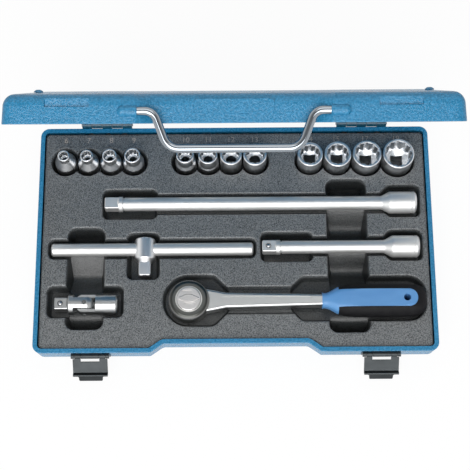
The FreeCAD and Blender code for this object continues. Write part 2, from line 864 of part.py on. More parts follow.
def socket(size, wide):
    nose = socket_noses[size] / 2
    body = wide / 2
    cone = max(1.2, (body - nose) * 2.0)
    taper_top = min(socket_body_height + cone, socket_length - 4)
    profile = [
        (0, 0), (body - 0.8, 0), (body, 0.8), (body, socket_body_height), (nose, taper_top),
        (nose, socket_length - 0.5), (nose - 0.5, socket_length), (0, socket_length),
    ]
    if nose >= body - 0.01:
        waist = max(socket_body / 2, body - 1.2)
        profile = [
            (0, 0), (waist - 0.8, 0), (waist, 0.8), (waist, 8), (body, 9),
            (body, socket_length - 0.6), (body - 0.6, socket_length), (0, socket_length),
        ]
    solid = turned_z(profile)
    nut_depth = 6 + size * 0.5
    nut_floor = socket_length - nut_depth
    corner = (size + nut_fit) / math.sqrt(3)
    bore = min(size * 0.36, drive / 2)
    flare = turned_z([
        (0, nut_floor - 0.1), (bore, nut_floor - (corner - bore) * 0.5), (corner * 0.9, nut_floor + 0.1),
        (corner * 0.9, nut_floor + 0.3), (0, nut_floor + 0.3),
    ])
    mouth = turned_z([
        (0, socket_length - 1.0), (corner - 0.5, socket_length - 1.0),
        (corner + 0.3, socket_length + 0.1), (0, socket_length + 0.1),
    ])
    cuts = star(size, nut_floor, socket_length + 1) + [flare, mouth]
    cuts.append(Part.makeCylinder(bore, socket_length, V(0, 0, 1)))
    square_top = nut_floor + 0.2 if size > 13 else drive_length + 1.5
    cuts.append(square_hole(-1, square_top))
    return solid.cut(cuts)


socket_pockets = []
socket_walls = []
for size, x, wide in socket_list:
    save("socket_%02d" % size, moved(socket(size, wide), x, socket_row_y, socket_low))
    radius = max(socket_pocket_least, wide / 2 + socket_pocket_room)
    floor = tray_top - socket_pocket_depth
    socket_pockets.append(moved(round_pocket(radius, floor), x, socket_row_y, 0))
    socket_walls.append(moved(round_pocket(radius, floor, tray_wall), x, socket_row_y, 0))


def male_square(length):
    # Drive square along +X from its chamfered tip at x = 0
    half = drive / 2
    steps = [(drive_chamfer, 0), (0, drive_chamfer), (0, length)]
    solid = sections(rectangle(-half, half, -half, half), 1.0, steps)
    solid.rotate(V(0, 0, 0), V(0, 1, 0), 90)
    return solid


def female_square(end):
    # Square hole along X, open at x = end, with a chamfered mouth
    half = drive / 2 + drive_fit
    steps = [(0, 0), (0, drive_length + 0.6), (-0.9, drive_length + 1.5), (-0.9, drive_length + 3)]
    solid = sections(rectangle(-half, half, -half, half), 0.8, steps)
    solid.rotate(V(0, 0, 0), V(0, 1, 0), 90)
    solid.translate(V(end - drive_length - 1.5, 0, 0))
    return solid


def ball_well(side):
    # Blind hole for the sprung ball in the middle of a drive square, side +1 up or -1 down
    well = Part.makeCylinder(ball_radius + running_fit, drive, V(drive_length / 2, 0, 0), V(0, 0, side))
    well.translate(V(0, 0, side * (ball_height - ball_travel - ball_radius - 0.1)))
    return well


ball_height = drive / 2 + ball_proud - ball_radius
ball = Part.makeSphere(ball_radius)


def extension(length, radius, side):
    collar = radius + collar_extra
    start = drive_length
    neck = start + collar_length
    end = length - bar_end_length
    profile = [
        (start - 0.5, 0), (start - 0.5, drive / 2 - 0.4), (start + 1.4, collar), (neck, collar),
        (neck, radius - 0.5), (neck + 1.2, radius - 0.5), (neck + 1.2, radius),
        (end - bar_flare_length, radius), (end, bar_end_radius), (length - 4.6, bar_end_radius),
        (length - 4.4, bar_end_radius - 0.3), (length - 4.0, bar_end_radius - 0.3),
        (length - 3.8, bar_end_radius), (length - 1.6, bar_end_radius), (length, bar_end_radius - 1.6),
        (length, 0),
    ]
    radii = [0, 0, 0, 0.6, 0, 0, 0, 4.0, 4.0, 0, 0, 0, 0, 0.5, 0.5, 0]
    bar = turned_x(profile, radii).fuse(male_square(start + 1)).removeSplitter()
    return bar.cut([female_square(length), ball_well(side)])


long_bar_z = tray_top + long_bar_above_tray
short_bar_z = tray_top + short_bar_above_tray
long_bar = extension(long_bar_length, long_bar_radius, -1)
short_bar = extension(short_bar_length, short_bar_radius, 1)
save("long_extension", moved(long_bar, long_bar_tip_x, long_bar_y, long_bar_z))
save("long_extension_ball",
     moved(ball, long_bar_tip_x + drive_length / 2, long_bar_y, long_bar_z - ball_height))
save("short_extension", moved(short_bar, short_bar_tip_x, short_bar_y, short_bar_z))
save("short_extension_ball",
     moved(ball, short_bar_tip_x + drive_length / 2, short_bar_y, short_bar_z + ball_height))

# Sliding handle: plain bar with spherical ends through a head that carries the drive square
slide_z = tray_top + slide_bar_above_tray
slide_bar = turned_x([
    (0, 0), (0, slide_bar_radius - 1.2), (1.2, slide_bar_radius), (slide_bar_length - 1.2, slide_bar_radius),
    (slide_bar_length, slide_bar_radius - 1.2), (slide_bar_length, 0),
], [0, 0.8, 0.8, 0.8, 0.8, 0])
save("slide_bar", moved(slide_bar, slide_bar_left, slide_bar_y, slide_z))
square_start = slide_head_half + slide_head_neck
head_end = square_start + drive_length
slide_head = turned_x([
    (0, 0), (0, drive / 2 - 0.4), (head_end - square_start, drive / 2 - 0.4),
    (head_end - slide_head_half, slide_head_radius), (head_end + slide_head_half - 1.0, slide_head_radius),
    (head_end + slide_head_half, slide_head_radius - 1.0), (head_end + slide_head_half, 0),
], [0, 0, 0.6, 0.8, 0.6, 0.6, 0])
slide_head = slide_head.fuse(male_square(drive_length + 1)).removeSplitter().cut(ball_well(-1))
slide_head.rotate(V(0, 0, 0), V(0, 0, 1), 90)
slide_head.translate(V(0, -head_end, 0))
slide_head = slide_head.cut(along_x(slide_bar_radius + running_fit, -30, 30))
save("slide_head", moved(slide_head, slide_head_x, slide_bar_y, slide_z))
save("slide_head_ball",
     moved(ball, slide_head_x, slide_bar_y - head_end + drive_length / 2, slide_z - ball_height))


# Universal joint: two yokes at right angles round a centre block
joint_z = tray_top + joint_above_tray
slot_half = joint_block / 2 + joint_slot_gap
joint_middle = V(joint_centre, 0, 0)


def slab(x_low, x_high, y_half, z_half):
    box = Part.makeBox(x_high - x_low, 2 * y_half, 2 * z_half)
    box.translate(V(x_low, -y_half, -z_half))
    return box


def yoke_arms(x_open, x_body):
    # Two arms above and below the block, rounded where they reach past the pin
    low = min(joint_centre, x_body)
    high = max(joint_centre, x_body)
    near = slab(low, high, joint_arm_half, joint_radius)
    far = slab(min(x_open, joint_centre), max(x_open, joint_centre), joint_arm_half, joint_radius)
    far = far.common(Part.makeSphere(joint_ball_reach, joint_middle))
    arms = near.fuse(far).common(along_x(joint_radius, 0, joint_length))
    arms = arms.cut(slab(0, joint_length, joint_radius, slot_half))
    return arms.cut(Part.makeCylinder(
        joint_pin_radius + running_fit, 4 * joint_radius, V(joint_centre, 0, -2 * joint_radius), V(0, 0, 1)
    ))


drive_yoke_body = turned_x([
    (drive_length - 0.6, 0), (drive_length - 0.6, drive / 2 - 0.4), (drive_length + 1.6, joint_radius),
    (joint_centre - joint_slot_reach, joint_radius), (joint_centre - joint_slot_reach, 0),
], [0, 0, 0.6, 0, 0])
drive_arms = yoke_arms(joint_centre + joint_slot_reach, joint_centre - joint_slot_reach - 0.5)
drive_yoke = joined([drive_yoke_body, male_square(drive_length + 1), drive_arms]).cut(ball_well(1))
socket_yoke_body = turned_x([
    (joint_centre + joint_slot_reach, 0), (joint_centre + joint_slot_reach, joint_radius),
    (joint_length - 1.4, joint_radius), (joint_length, joint_radius - 1.4), (joint_length, 0),
], [0, 0, 0.5, 0.5, 0])
socket_arms = yoke_arms(joint_centre - joint_slot_reach, joint_centre + joint_slot_reach + 0.5)
socket_arms.rotate(V(0, 0, 0), V(1, 0, 0), 90)
socket_yoke = joined([socket_yoke_body, socket_arms]).cut(female_square(joint_length))
pin_end = joint_radius - 0.5
long_pin = Part.makeCylinder(joint_pin_radius, 2 * pin_end, V(joint_centre, 0, -pin_end), V(0, 0, 1))
pin_start = joint_pin_radius + 0.6
short_pins = []
block = prism(rectangle(-joint_block / 2, joint_block / 2, -joint_block / 2, joint_block / 2), 1.0,
              -joint_block / 2, joint_block / 2)
block.translate(joint_middle)
holes = [Part.makeCylinder(joint_pin_radius + running_fit, joint_block + 2,
                           V(joint_centre, 0, -joint_block / 2 - 1), V(0, 0, 1))]
for way in (-1, 1):
    short_pins.append(Part.makeCylinder(
        joint_pin_radius, pin_end - pin_start, V(joint_centre, way * pin_start, 0), V(0, way, 0)
    ))
    holes.append(Part.makeCylinder(
        joint_pin_radius + running_fit, joint_block, V(joint_centre, way * (pin_start - 0.1), 0), V(0, way, 0)
    ))
block = block.cut(holes)
joint_nodes = [
    ("joint_drive_yoke", drive_yoke), ("joint_block", block), ("joint_long_pin", long_pin),
    ("joint_short_pins", Part.makeCompound(short_pins)), ("joint_socket_yoke", socket_yoke),
    ("joint_ball", moved(ball, drive_length / 2, 0, ball_height)),
]
for name, shape in joint_nodes:
    save(name, moved(shape, joint_tip_x, joint_y, joint_z))

# Ratchet, drawn with the head centre at the origin and the handle along +X
ratchet_z = tray_top + ratchet_head_above_tray
shank_middle = ratchet_head_height / 2
gear_low = 0.2 + cover_thickness + gear_room
gear_high = gear_low + gear_height
lug_low = gear_high + gear_room
roof_low = ratchet_head_height - dial_sunk - head_roof
lug_high = roof_low - gear_room
square_tip = -drive_length - 1.0


def across_x(x, width, height, corner):
    # Rounded rectangle standing across the handle at x
    wire = outline(rectangle(-width / 2, width / 2, -height / 2, height / 2), corner)
    wire.rotate(V(0, 0, 0), V(0, 0, 1), 90)
    wire.rotate(V(0, 0, 0), V(0, 1, 0), 90)
    wire.translate(V(x, 0, shank_middle))
    return wire


head = turned_z([
    (0, 0), (ratchet_head_radius, 0), (ratchet_head_radius, ratchet_head_height),
    (dial_radius + 1.5, ratchet_head_height), (0, ratchet_head_height),
], [0, 1.5, 3.5, 0, 0])
shank_flare = Part.makeLoft([
    across_x(ratchet_head_radius * 0.6, shank_flare_width, shank_height, shank_round),
    across_x(ratchet_head_radius * 1.1, shank_root_width, shank_height, shank_round),
    across_x(ratchet_head_radius * 1.8, shank_neck_width, shank_height, shank_round),
], True, False)
shank_taper = Part.makeLoft([
    across_x(ratchet_head_radius * 1.8, shank_neck_width, shank_height, shank_round),
    across_x(handle_start, shank_end_width, shank_height, shank_round),
], True, True)
tang_bar = slab(handle_start - 1, tang_end, tang / 2, tang / 2)
tang_bar.translate(V(0, 0, shank_middle))
ratchet_body = joined([head, shank_flare, shank_taper, tang_bar])
panel_outline = rectangle(ratchet_head_radius + 10, handle_start - 8, -2.6, 2.6)
gear_room_cut = [
    Part.makeCylinder(gear_tip + gear_room, roof_low - 0.2, V(0, 0, 0.2)),
    Part.makeCylinder(cover_radius + running_fit, cover_thickness + 0.2, V(0, 0, 0)),
    Part.makeCylinder(dial_radius + running_fit, dial_sunk + 1, V(0, 0, ratchet_head_height - dial_sunk)),
    Part.makeCylinder(dial_stem + running_fit, head_roof + 2, V(0, 0, roof_low - 1)),
    prism(rectangle(0, pawl_pivot, -pawl_half - 1.6, pawl_half + 1.6), 1.0, cover_thickness, roof_low),
    Part.makeCylinder(2.6, roof_low - cover_thickness, V(pawl_pivot, 0, cover_thickness)),
    Part.makeCylinder(pawl_pin + running_fit, 2.0, V(pawl_pivot, 0, roof_low - 0.5)),
    prism(panel_outline, 2.4, shank_middle + shank_height / 2 - 0.6, shank_middle + shank_height),
    prism(panel_outline, 2.4, shank_middle - shank_height, shank_middle - shank_height / 2 + 0.6),
]
ratchet_body = ratchet_body.cut(gear_room_cut)

ratchet_cover = Part.makeCylinder(cover_radius, cover_thickness, V(0, 0, 0.2))
ratchet_cover = ratchet_cover.cut(Part.makeCylinder(gear_boss + running_fit, 4, V(0, 0, -1)))

tooth_points = []
for index in range(gear_teeth):
    for offset, radius in ((0.0, gear_tip), (0.5, gear_root)):
        angle = 2 * math.pi * (index + offset) / gear_teeth
        tooth_points.append((radius * math.cos(angle), radius * math.sin(angle)))
toothed = prism(tooth_points, 0, gear_low, gear_high)
boss = Part.makeCylinder(gear_boss, gear_low + 1.5, V(0, 0, -1.0))
drive_square = male_square(drive_length + 1.5).cut(ball_well(1))
drive_square.rotate(V(0, 0, 0), V(0, 1, 0), -90)
drive_square.translate(V(0, 0, square_tip))
ratchet_gear = joined([toothed, boss, drive_square])

pawl_back = pawl_pivot - 1.0
pawl = prism(rectangle(7.0, pawl_back, -pawl_half, pawl_half), 1.5, gear_low, lug_low)
pawl = pawl.fuse([
    Part.makeCylinder(2.2, lug_low - gear_low, V(pawl_pivot, 0, gear_low)),
    prism(rectangle(-0.2, pawl_pivot, -2.0, 2.0), 1.5, lug_low - 0.01, lug_high),
    Part.makeCylinder(pawl_pin, roof_low + 1.2 - gear_high, V(pawl_pivot, 0, gear_high)),
])
slot_width = crank_radius + 0.1
pawl = pawl.cut([
    Part.makeCylinder(pawl_face, lug_low - gear_low, V(0, 0, gear_low - 0.01)),
    prism(rectangle(dial_crank - 1.8, dial_crank + 1.8, -slot_width, slot_width), 0.8,
          lug_low - 1, lug_high + 1),
])

dial_low = ratchet_head_height - dial_sunk
dial_top = ratchet_head_height + dial_proud
dial_bar = [
    (-dial_radius + 0.6, 0), (0, -dial_radius * 0.42), (dial_radius - 0.6, 0), (0, dial_radius * 0.42),
]
dial_bar_radii = [0.6, 9.0, 0.6, 9.0]
dial_bar_steps = [(0, dial_top - 0.5), (0, dial_top + 1.2), (0.6, dial_top + dial_bar_raise)]
dial = turned_z([
    (0, dial_low + 0.1), (dial_radius, dial_low + 0.1), (dial_radius, dial_top), (0, dial_top),
], [0, 0, 0.8, 0])
finger_room = prism(
    [(-finger_reach, dial_radius * 0.3), (finger_reach * 0.6, dial_radius * 0.3),
     (finger_reach * 0.35, dial_radius * 0.72), (-finger_reach * 0.7, dial_radius * 0.72)],
    finger_round, dial_top - finger_depth, dial_top + 1,
)
other_room = finger_room.copy()
other_room.rotate(V(0, 0, 0), V(0, 0, 1), 180)
dial = joined([
    dial.cut([finger_room, other_room]),
    sections(dial_bar, dial_bar_radii, dial_bar_steps),
    Part.makeCylinder(dial_stem, dial_low - roof_low, V(0, 0, roof_low + 0.2)),
    Part.makeCylinder(crank_radius, roof_low - lug_low, V(dial_crank, 0, lug_low + 0.3)),
])

handle_solid = Part.makeLoft([
    across_x(handle_start, handle_width * 0.48, handle_height * 0.6, 5.0),
    across_x(handle_start + 5, handle_width * 0.50, handle_height * 0.64, 5.2),
    across_x(handle_start + 13, handle_width * 0.82, handle_height * 0.85, 7.0),
    across_x(handle_start + 22, handle_width * 0.96, handle_height * 0.96, 8.0),
    across_x(handle_start + 46, handle_width, handle_height, 8.5),
    across_x(handle_end - 14, handle_width * 0.98, handle_height * 0.97, 8.3),
    across_x(handle_end - 5, handle_width * 0.88, handle_height * 0.86, 7.2),
    across_x(handle_end, handle_width * 0.6, handle_height * 0.56, 5.0),
], True, False)


def core_spine(room):
    spine = rectangle(bolster_end - 20, core_end, -core_width / 2, core_width / 2)
    low = shank_middle - handle_height
    return prism(spine, core_width / 2 - 0.1, low, shank_middle + handle_height, -room)


front_half = slab(0, bolster_end, handle_width, handle_height)
front_half.translate(V(0, 0, shank_middle))
flat_limit = slab(0, handle_end + 5, handle_width, handle_height / 2 - core_sunk)
flat_limit.translate(V(0, 0, shank_middle))
tang_room = slab(0, tang_end + 0.5, tang / 2 + running_fit, tang / 2 + running_fit)
tang_room.translate(V(0, 0, shank_middle))
hole = Part.makeCylinder(hang_hole_radius, 3 * handle_height, V(hang_hole_x, 0, -handle_height))
spine = handle_solid.common(core_spine(0.0)).common(flat_limit)
ratchet_core = handle_solid.common(front_half).fuse(spine).removeSplitter().cut([tang_room, hole])
back_half = slab(bolster_end + running_fit, handle_end + 5, handle_width, handle_height)
back_half.translate(V(0, 0, shank_middle))
ratchet_grip = handle_solid.common(back_half).cut(core_spine(running_fit))
ratchet_ball = moved(ball, -ball_height, 0, square_tip + drive_length / 2)
ratchet_nodes = [
    ("ratchet_body", ratchet_body), ("ratchet_cover", ratchet_cover), ("ratchet_gear", ratchet_gear),
    ("ratchet_pawl", pawl), ("ratchet_dial", dial), ("ratchet_core", ratchet_core),
    ("ratchet_grip", ratchet_grip), ("ratchet_ball", ratchet_ball),
]
for name, shape in ratchet_nodes:
    save(name, moved(shape, ratchet_x, ratchet_y, ratchet_z))

# Tool tray: formed plastic sheet with a skirt, sunk wells under every tool
tray_floor = sheet + tray_wall
seat = seat_gap
wells = [
    (long_grip_pocket, pocket_corner, tray_top - grip_pocket_depth),
    (long_bar_pocket, pocket_corner, long_bar_z - long_bar_radius - seat),
    (long_end_pocket, pocket_corner, long_bar_z - bar_end_radius - seat),
    (short_grip_pocket, pocket_corner, tray_top - grip_pocket_depth),
    (short_bar_pocket, pocket_corner, short_bar_z - short_bar_radius - seat),
    (short_end_pocket, pocket_corner, short_bar_z - bar_end_radius - seat),
    (slide_bar_pocket, pocket_corner, slide_z - slide_bar_radius - seat),
    (slide_head_pocket, pocket_corner, slide_z - slide_head_radius - seat),
    (joint_pocket, pocket_corner, joint_z - joint_radius - seat),
    (head_pocket, [head_corner] * 2 + [well_corner] * 4 + [head_corner] * 2, ratchet_z - seat),
    (neck_pocket, pocket_corner, ratchet_z + shank_middle - shank_height / 2 - 1.0),
    (grip_pocket, [well_corner] * 2 + [grip_end_corner] * 4 + [well_corner] * 2,
     ratchet_z + shank_middle - handle_height / 2 - seat),
]
well_cuts = [pocket(slanted(*sides), corner, floor) for sides, corner, floor in wells]
well_walls = [pocket(slanted(*sides), corner, floor, tray_wall) for sides, corner, floor in wells]
finger_wells = [
    (left_finger_well, [
        (slide_bar_y, 0, slide_z - slide_bar_radius - seat),
        (joint_y, joint_radius, joint_z - joint_radius - seat),
    ]),
    (right_finger_well, [
        (long_bar_y, 0, long_bar_z - long_bar_radius - seat),
        (short_bar_y, 0, short_bar_z - short_bar_radius - seat),
        (ratchet_y, handle_width / 2, ratchet_z + shank_middle - handle_height / 2 - seat),
    ]),
]
for sides, supports in finger_wells:
    upper = pocket(slanted(*sides), well_corner, tray_floor)
    lower = pocket(slanted(*sides), well_corner, tray_floor, tray_wall)
    well_cuts.append(upper.common(floor_wave(sides, supports, 0.0)))
    well_walls.append(lower.common(floor_wave(sides, supports, tray_wall)))
head_floor = ratchet_z - seat
well_cuts.append(Part.makeCone(
    drive_well_radius - 1, drive_well_radius, head_floor + 0.5 - tray_floor,
    V(ratchet_x, ratchet_y, tray_floor)
))
well_walls.append(Part.makeCone(
    drive_well_radius - 1 + tray_wall, drive_well_radius + tray_wall, head_floor - sheet,
    V(ratchet_x, ratchet_y, sheet)
))
tray_inset = rim_width + tray_clearance
tray_block = sections(case_plan, case_radii, [
    (tray_inset + tray_skirt * slope, tray_top - tray_skirt),
    (tray_inset, tray_top - pocket_edge),
    (tray_inset + pocket_edge * 0.3, tray_top - pocket_edge * 0.3),
    (tray_inset + pocket_edge, tray_top),
])
hollow_inset = tray_inset + tray_wall
tray_hollow = sections(case_plan, case_radii, [
    (hollow_inset + tray_skirt * slope, tray_top - tray_skirt - 1),
    (hollow_inset, tray_top - tray_wall),
])
tray = tray_block.cut(tray_hollow).fuse(well_walls + socket_walls)
tray = tray.cut(well_cuts + socket_pockets).removeSplitter()
save("tool_tray", tray)
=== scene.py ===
# %% [markdown]
# A socket wrench set lies in an open sheet steel case. The rigid pieces come from the CAD
# model, already in place and in metres, so this lesson gives them their finishes, adds the
# printed sizes on the tray, and sets up a small studio to look at them.

# %% Load the frame
import json
import math

import bpy
from mathutils import Matrix, Vector


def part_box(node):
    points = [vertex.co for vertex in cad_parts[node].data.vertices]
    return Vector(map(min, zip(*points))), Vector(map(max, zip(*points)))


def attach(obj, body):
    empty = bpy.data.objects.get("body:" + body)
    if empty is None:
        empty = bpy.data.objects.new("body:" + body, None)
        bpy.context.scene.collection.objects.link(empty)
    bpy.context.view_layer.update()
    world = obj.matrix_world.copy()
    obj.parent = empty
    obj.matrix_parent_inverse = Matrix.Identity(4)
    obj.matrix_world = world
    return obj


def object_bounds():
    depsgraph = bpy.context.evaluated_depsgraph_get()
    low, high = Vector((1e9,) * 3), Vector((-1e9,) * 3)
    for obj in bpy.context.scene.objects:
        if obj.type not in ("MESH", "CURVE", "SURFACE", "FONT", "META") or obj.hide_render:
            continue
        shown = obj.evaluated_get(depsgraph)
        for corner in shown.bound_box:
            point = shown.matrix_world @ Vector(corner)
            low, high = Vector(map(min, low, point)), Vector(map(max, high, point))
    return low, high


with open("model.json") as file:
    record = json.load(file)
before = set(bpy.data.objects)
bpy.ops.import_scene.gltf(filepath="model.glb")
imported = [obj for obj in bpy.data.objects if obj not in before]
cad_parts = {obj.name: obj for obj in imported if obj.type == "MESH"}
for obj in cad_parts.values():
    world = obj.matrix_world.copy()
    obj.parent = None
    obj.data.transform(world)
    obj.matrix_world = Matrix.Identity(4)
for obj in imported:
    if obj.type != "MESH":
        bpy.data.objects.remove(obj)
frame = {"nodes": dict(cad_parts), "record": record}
nodes = frame["nodes"]
cad_low, cad_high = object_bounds()


def rounded(vector):
    return [round(number, 4) for number in vector]


print("CAD pieces:", len(nodes), "box", rounded(cad_low), rounded(cad_high))

# %% [markdown]
# Every finish starts from one Principled shader. Numbers that are the same all over go
# straight on the shader's own sockets, and patterns are linked to them.

# %% The start of a finish
class Shader:
    # A material under construction
    def __init__(self, name):
        self.material = bpy.data.materials.new(name)
        self.material.use_nodes = True
        self.tree = self.material.node_tree
        self.shader = self.tree.nodes["Principled BSDF"]
        self.place = self.add("ShaderNodeTexCoord").outputs["Object"]

    def add(self, kind):
        return self.tree.nodes.new(kind)

    def link(self, output, socket):
        self.tree.links.new(output, socket)

    def fixed(self, **numbers):
        for name, number in numbers.items():
            self.shader.inputs[name.replace("_", " ")].default_value = number

    def use(self, **outputs):
        for name, output in outputs.items():
            self.link(output, self.shader.inputs[name.replace("_", " ")])


def helper_names(kind):
    return [name for name in vars(kind) if not name.startswith("_")]


print("every finish can:", helper_names(Shader))

# %% [markdown]
# The patterns read Object coordinates. All the CAD objects sit at the origin, so one
# millimetre is the same on every piece, and the size of a pattern's details is given in
# metres. Each helper adds one or two nodes and hands back their output.

# %% Patterns
MM = 0.001


class Patterned(Shader):
    def stretched(self, x, y, z):
        # Object coordinates stretched along the axes, for brushed and turned lines
        node = self.add("ShaderNodeMapping")
        node.inputs["Scale"].default_value = (x, y, z)
        self.link(self.place, node.inputs["Vector"])
        return node.outputs["Vector"]

    def away_from(self, x, y):
        # Distance from an upright axis through (x, y)
        node = self.add("ShaderNodeMapping")
        node.inputs["Location"].default_value = (-x, -y, 0)
        node.inputs["Scale"].default_value = (1, 1, 0)
        self.link(self.place, node.inputs["Vector"])
        length = self.add("ShaderNodeVectorMath")
        length.operation = "LENGTH"
        self.link(node.outputs["Vector"], length.inputs[0])
        return length.outputs["Value"]

    def height(self):
        # Height above the table
        node = self.add("ShaderNodeSeparateXYZ")
        self.link(self.place, node.inputs["Vector"])
        return node.outputs["Z"]

    def noise(self, size, detail=2.0, rough=0.5, where=None):
        # Cloudy pattern whose blotches are about size metres wide
        node = self.add("ShaderNodeTexNoise")
        node.inputs["Scale"].default_value = 1 / size
        node.inputs["Detail"].default_value = detail
        node.inputs["Roughness"].default_value = rough
        self.link(where or self.place, node.inputs["Vector"])
        return node.outputs["Fac"]

    def grains(self, size):
        # Distance to the nearest of many scattered points, about size metres apart
        node = self.add("ShaderNodeTexVoronoi")
        node.inputs["Scale"].default_value = 1 / size
        self.link(self.place, node.inputs["Vector"])
        return node.outputs["Distance"]


print("patterns:", helper_names(Patterned))

# %% [markdown]
# A pattern is moved to another range, turned into colours, blended with another one, or
# raised as a relief. With these helpers a finish reads like a recipe.

# %% From patterns to a finish
RANGE_SOCKETS = ("From Min", "From Max", "To Min", "To Max")
# A colour mix has several sockets of the same name, so they are picked by number
MIX_SHARE, MIX_FIRST, MIX_SECOND, MIX_RESULT = 0, 6, 7, 2
# Nearly all the values of a noise lie between these two
NOISE_MIDDLE = (0.3, 0.7)


class Finish(Patterned):
    def ranged(self, value, old, new):
        # Moves a value from one (low, high) range to another, held at the ends
        node = self.add("ShaderNodeMapRange")
        for name, number in zip(RANGE_SOCKETS, (*old, *new)):
            node.inputs[name].default_value = number
        self.link(value, node.inputs["Value"])
        return node.outputs["Result"]

    def colours(self, value, *stops):
        # Colour ramp through (position, colour) stops
        node = self.add("ShaderNodeValToRGB")
        ramp = node.color_ramp.elements
        while len(ramp) < len(stops):
            ramp.new(0.5)
        for element, (position, colour) in zip(ramp, stops):
            element.position = position
            element.color = (*colour, 1)
        self.link(value, node.inputs["Fac"])
        return node.outputs["Color"]

    def mixed(self, share, first, second):
        # Blend of two colours by a share from 0 to 1
        node = self.add("ShaderNodeMix")
        node.data_type = "RGBA"
        self.link(share, node.inputs[MIX_SHARE])
        self.link(first, node.inputs[MIX_FIRST])
        self.link(second, node.inputs[MIX_SECOND])
        return node.outputs[MIX_RESULT]

    def summed(self, first, second, share):
        # first + share * second
        node = self.add("ShaderNodeMath")
        node.operation = "MULTIPLY_ADD"
        self.link(second, node.inputs[0])
        node.inputs[1].default_value = share
        self.link(first, node.inputs[2])
        return node.outputs["Value"]

    def bumps(self, height, depth):
        # Relief of depth metres from a height pattern
        node = self.add("ShaderNodeBump")
        node.inputs["Strength"].default_value = 1.0
        node.inputs["Distance"].default_value = depth
        self.link(height, node.inputs["Height"])
        self.link(node.outputs["Normal"], self.shader.inputs["Normal"])


finishes = {}
print("from patterns to a finish:", helper_names(Finish))

# %% [markdown]
# The case is pressed from sheet steel and coated with a textured enamel. The coat dries into
# small pebbles a little over a millimetre wide, and each pebble catches the light at its top.
# Two noises give the relief, the coarse one for the pebbles and a fine one for the sparkle.
# The colour is painted a touch lighter on the pebble tops, a painted highlight, and darker
# in between, painted shade. The hinges wear the same coat, but thinner and darker.

# %% Enamel on the case and the hinges
# Size and height of the fine relief, as shares of the pebbles'
FINE_SIZE, FINE_SHARE = 0.45, 0.35
# Values of the coarse noise between the pebbles and on top of them, where the painted shade and the
# painted highlight are full
HOLLOW, PEBBLE_TOP = 0.34, 0.68
PATCH_SIZE = 60 * MM
ENAMEL_ROUGHNESS = (0.22, 0.30)


def enamel(name, hollow_shade, top_highlight, pebble, depth):
    coat = Finish(name)
    coarse = coat.noise(pebble)
    fine = coat.noise(pebble * FINE_SIZE, detail=1.0)
    # Painted highlight on the pebble tops and painted shade in the hollows: the colour follows the
    # noise of the relief
    coat.use(Base_Color=coat.colours(coarse, (HOLLOW, hollow_shade), (PEBBLE_TOP, top_highlight)))
    patches = coat.noise(PATCH_SIZE, detail=3.0)
    coat.use(Roughness=coat.ranged(patches, NOISE_MIDDLE, ENAMEL_ROUGHNESS))
    coat.fixed(Specular_IOR_Level=0.42)
    coat.bumps(coat.summed(coarse, fine, FINE_SHARE), depth)
    finishes[name] = coat.material


# Each enamel gets two colours: painted shade for the hollows, then painted highlight for the pebble
# tops
enamel("case_paint", (0.006, 0.145, 0.285), (0.032, 0.230, 0.430), 1.4 * MM, 0.42 * MM)
enamel("hinge_paint", (0.004, 0.045, 0.075), (0.010, 0.075, 0.120), 1.2 * MM, 0.15 * MM)
print("enamels:", list(finishes))

# %% [markdown]
# The tray is a formed plastic sheet with a leather-like grain: small pale specks on dark
# grey. Scattered points give the grain its cells, and a noise breaks them up. The relief is
# shallow, because the real grain only roughens the light. Down in the pockets the colour is
# painted darker by the height above the table: the pale specks give way to a plain dark grey,
# which is painted shade in the pockets.

# %% Grained plastic of the tray
TRAY_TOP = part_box("tool_tray")[1].z
# Heights below the tray top where the painted pocket shade is full and where it ends
FULL_SHADE_HEIGHT, NO_SHADE_HEIGHT = TRAY_TOP - 5 * MM, TRAY_TOP - 0.8 * MM
CELL_SIZE, CELL_SHARE = 0.9 * MM, 0.5
BLOTCH_SIZE = 0.75 * MM
TRAY_ROUGHNESS = (0.27, 0.38)
GRAIN_DEPTH = 0.20 * MM

tray = Finish("tray_plastic")
cells = tray.grains(CELL_SIZE)
blotches = tray.noise(BLOTCH_SIZE, rough=0.55)
grain = tray.summed(blotches, cells, CELL_SHARE)
speckled = tray.colours(
    grain, (0.55, (0.030, 0.034, 0.036)), (0.90, (0.190, 0.200, 0.205)))
# Plain dark grey that is painted shade for the pockets
pocket_painted_shade = tray.colours(
    grain, (0.50, (0.008, 0.010, 0.010)), (0.95, (0.040, 0.043, 0.044)))
# Share of the grain colour by height: low down in a pocket the painted shade takes over
unshaded_share = tray.ranged(tray.height(), (FULL_SHADE_HEIGHT, NO_SHADE_HEIGHT), (0, 1))
tray.use(Base_Color=tray.mixed(unshaded_share, pocket_painted_shade, speckled))
tray.use(Roughness=tray.ranged(blotches, NOISE_MIDDLE, TRAY_ROUGHNESS))
tray.fixed(Specular_IOR_Level=0.6)
tray.bumps(grain, GRAIN_DEPTH)
finishes["tray_plastic"] = tray.material
print("tray grain made")

# %% [markdown]
# The tools are forged, ground and plated. Satin chrome keeps the fine lines of the grinding
# belt under the plating, so the roughness and the relief vary in thin lines. On the turned
# bars these lines run round the bar, which is why the pattern is stretched: it changes
# quickly along X and hardly at all across it.

# %% Plating
LINE_SIZE = 2.0 * MM
LINE_RANGE = (0.25, 0.75)
CLOUD_SIZE = 14 * MM


def plated(name, roughness, lines, depth, metal=1.0):
    # Plating with its lines but without a colour; depth is in thousandths of a millimetre
    plating = Finish(name)
    fine = plating.noise(LINE_SIZE, detail=1.0, where=plating.stretched(*lines))
    plating.use(Roughness=plating.ranged(fine, LINE_RANGE, roughness))
    plating.fixed(Metallic=metal)
    plating.bumps(fine, depth * 0.001 * MM)
    finishes[name] = plating.material
    return plating


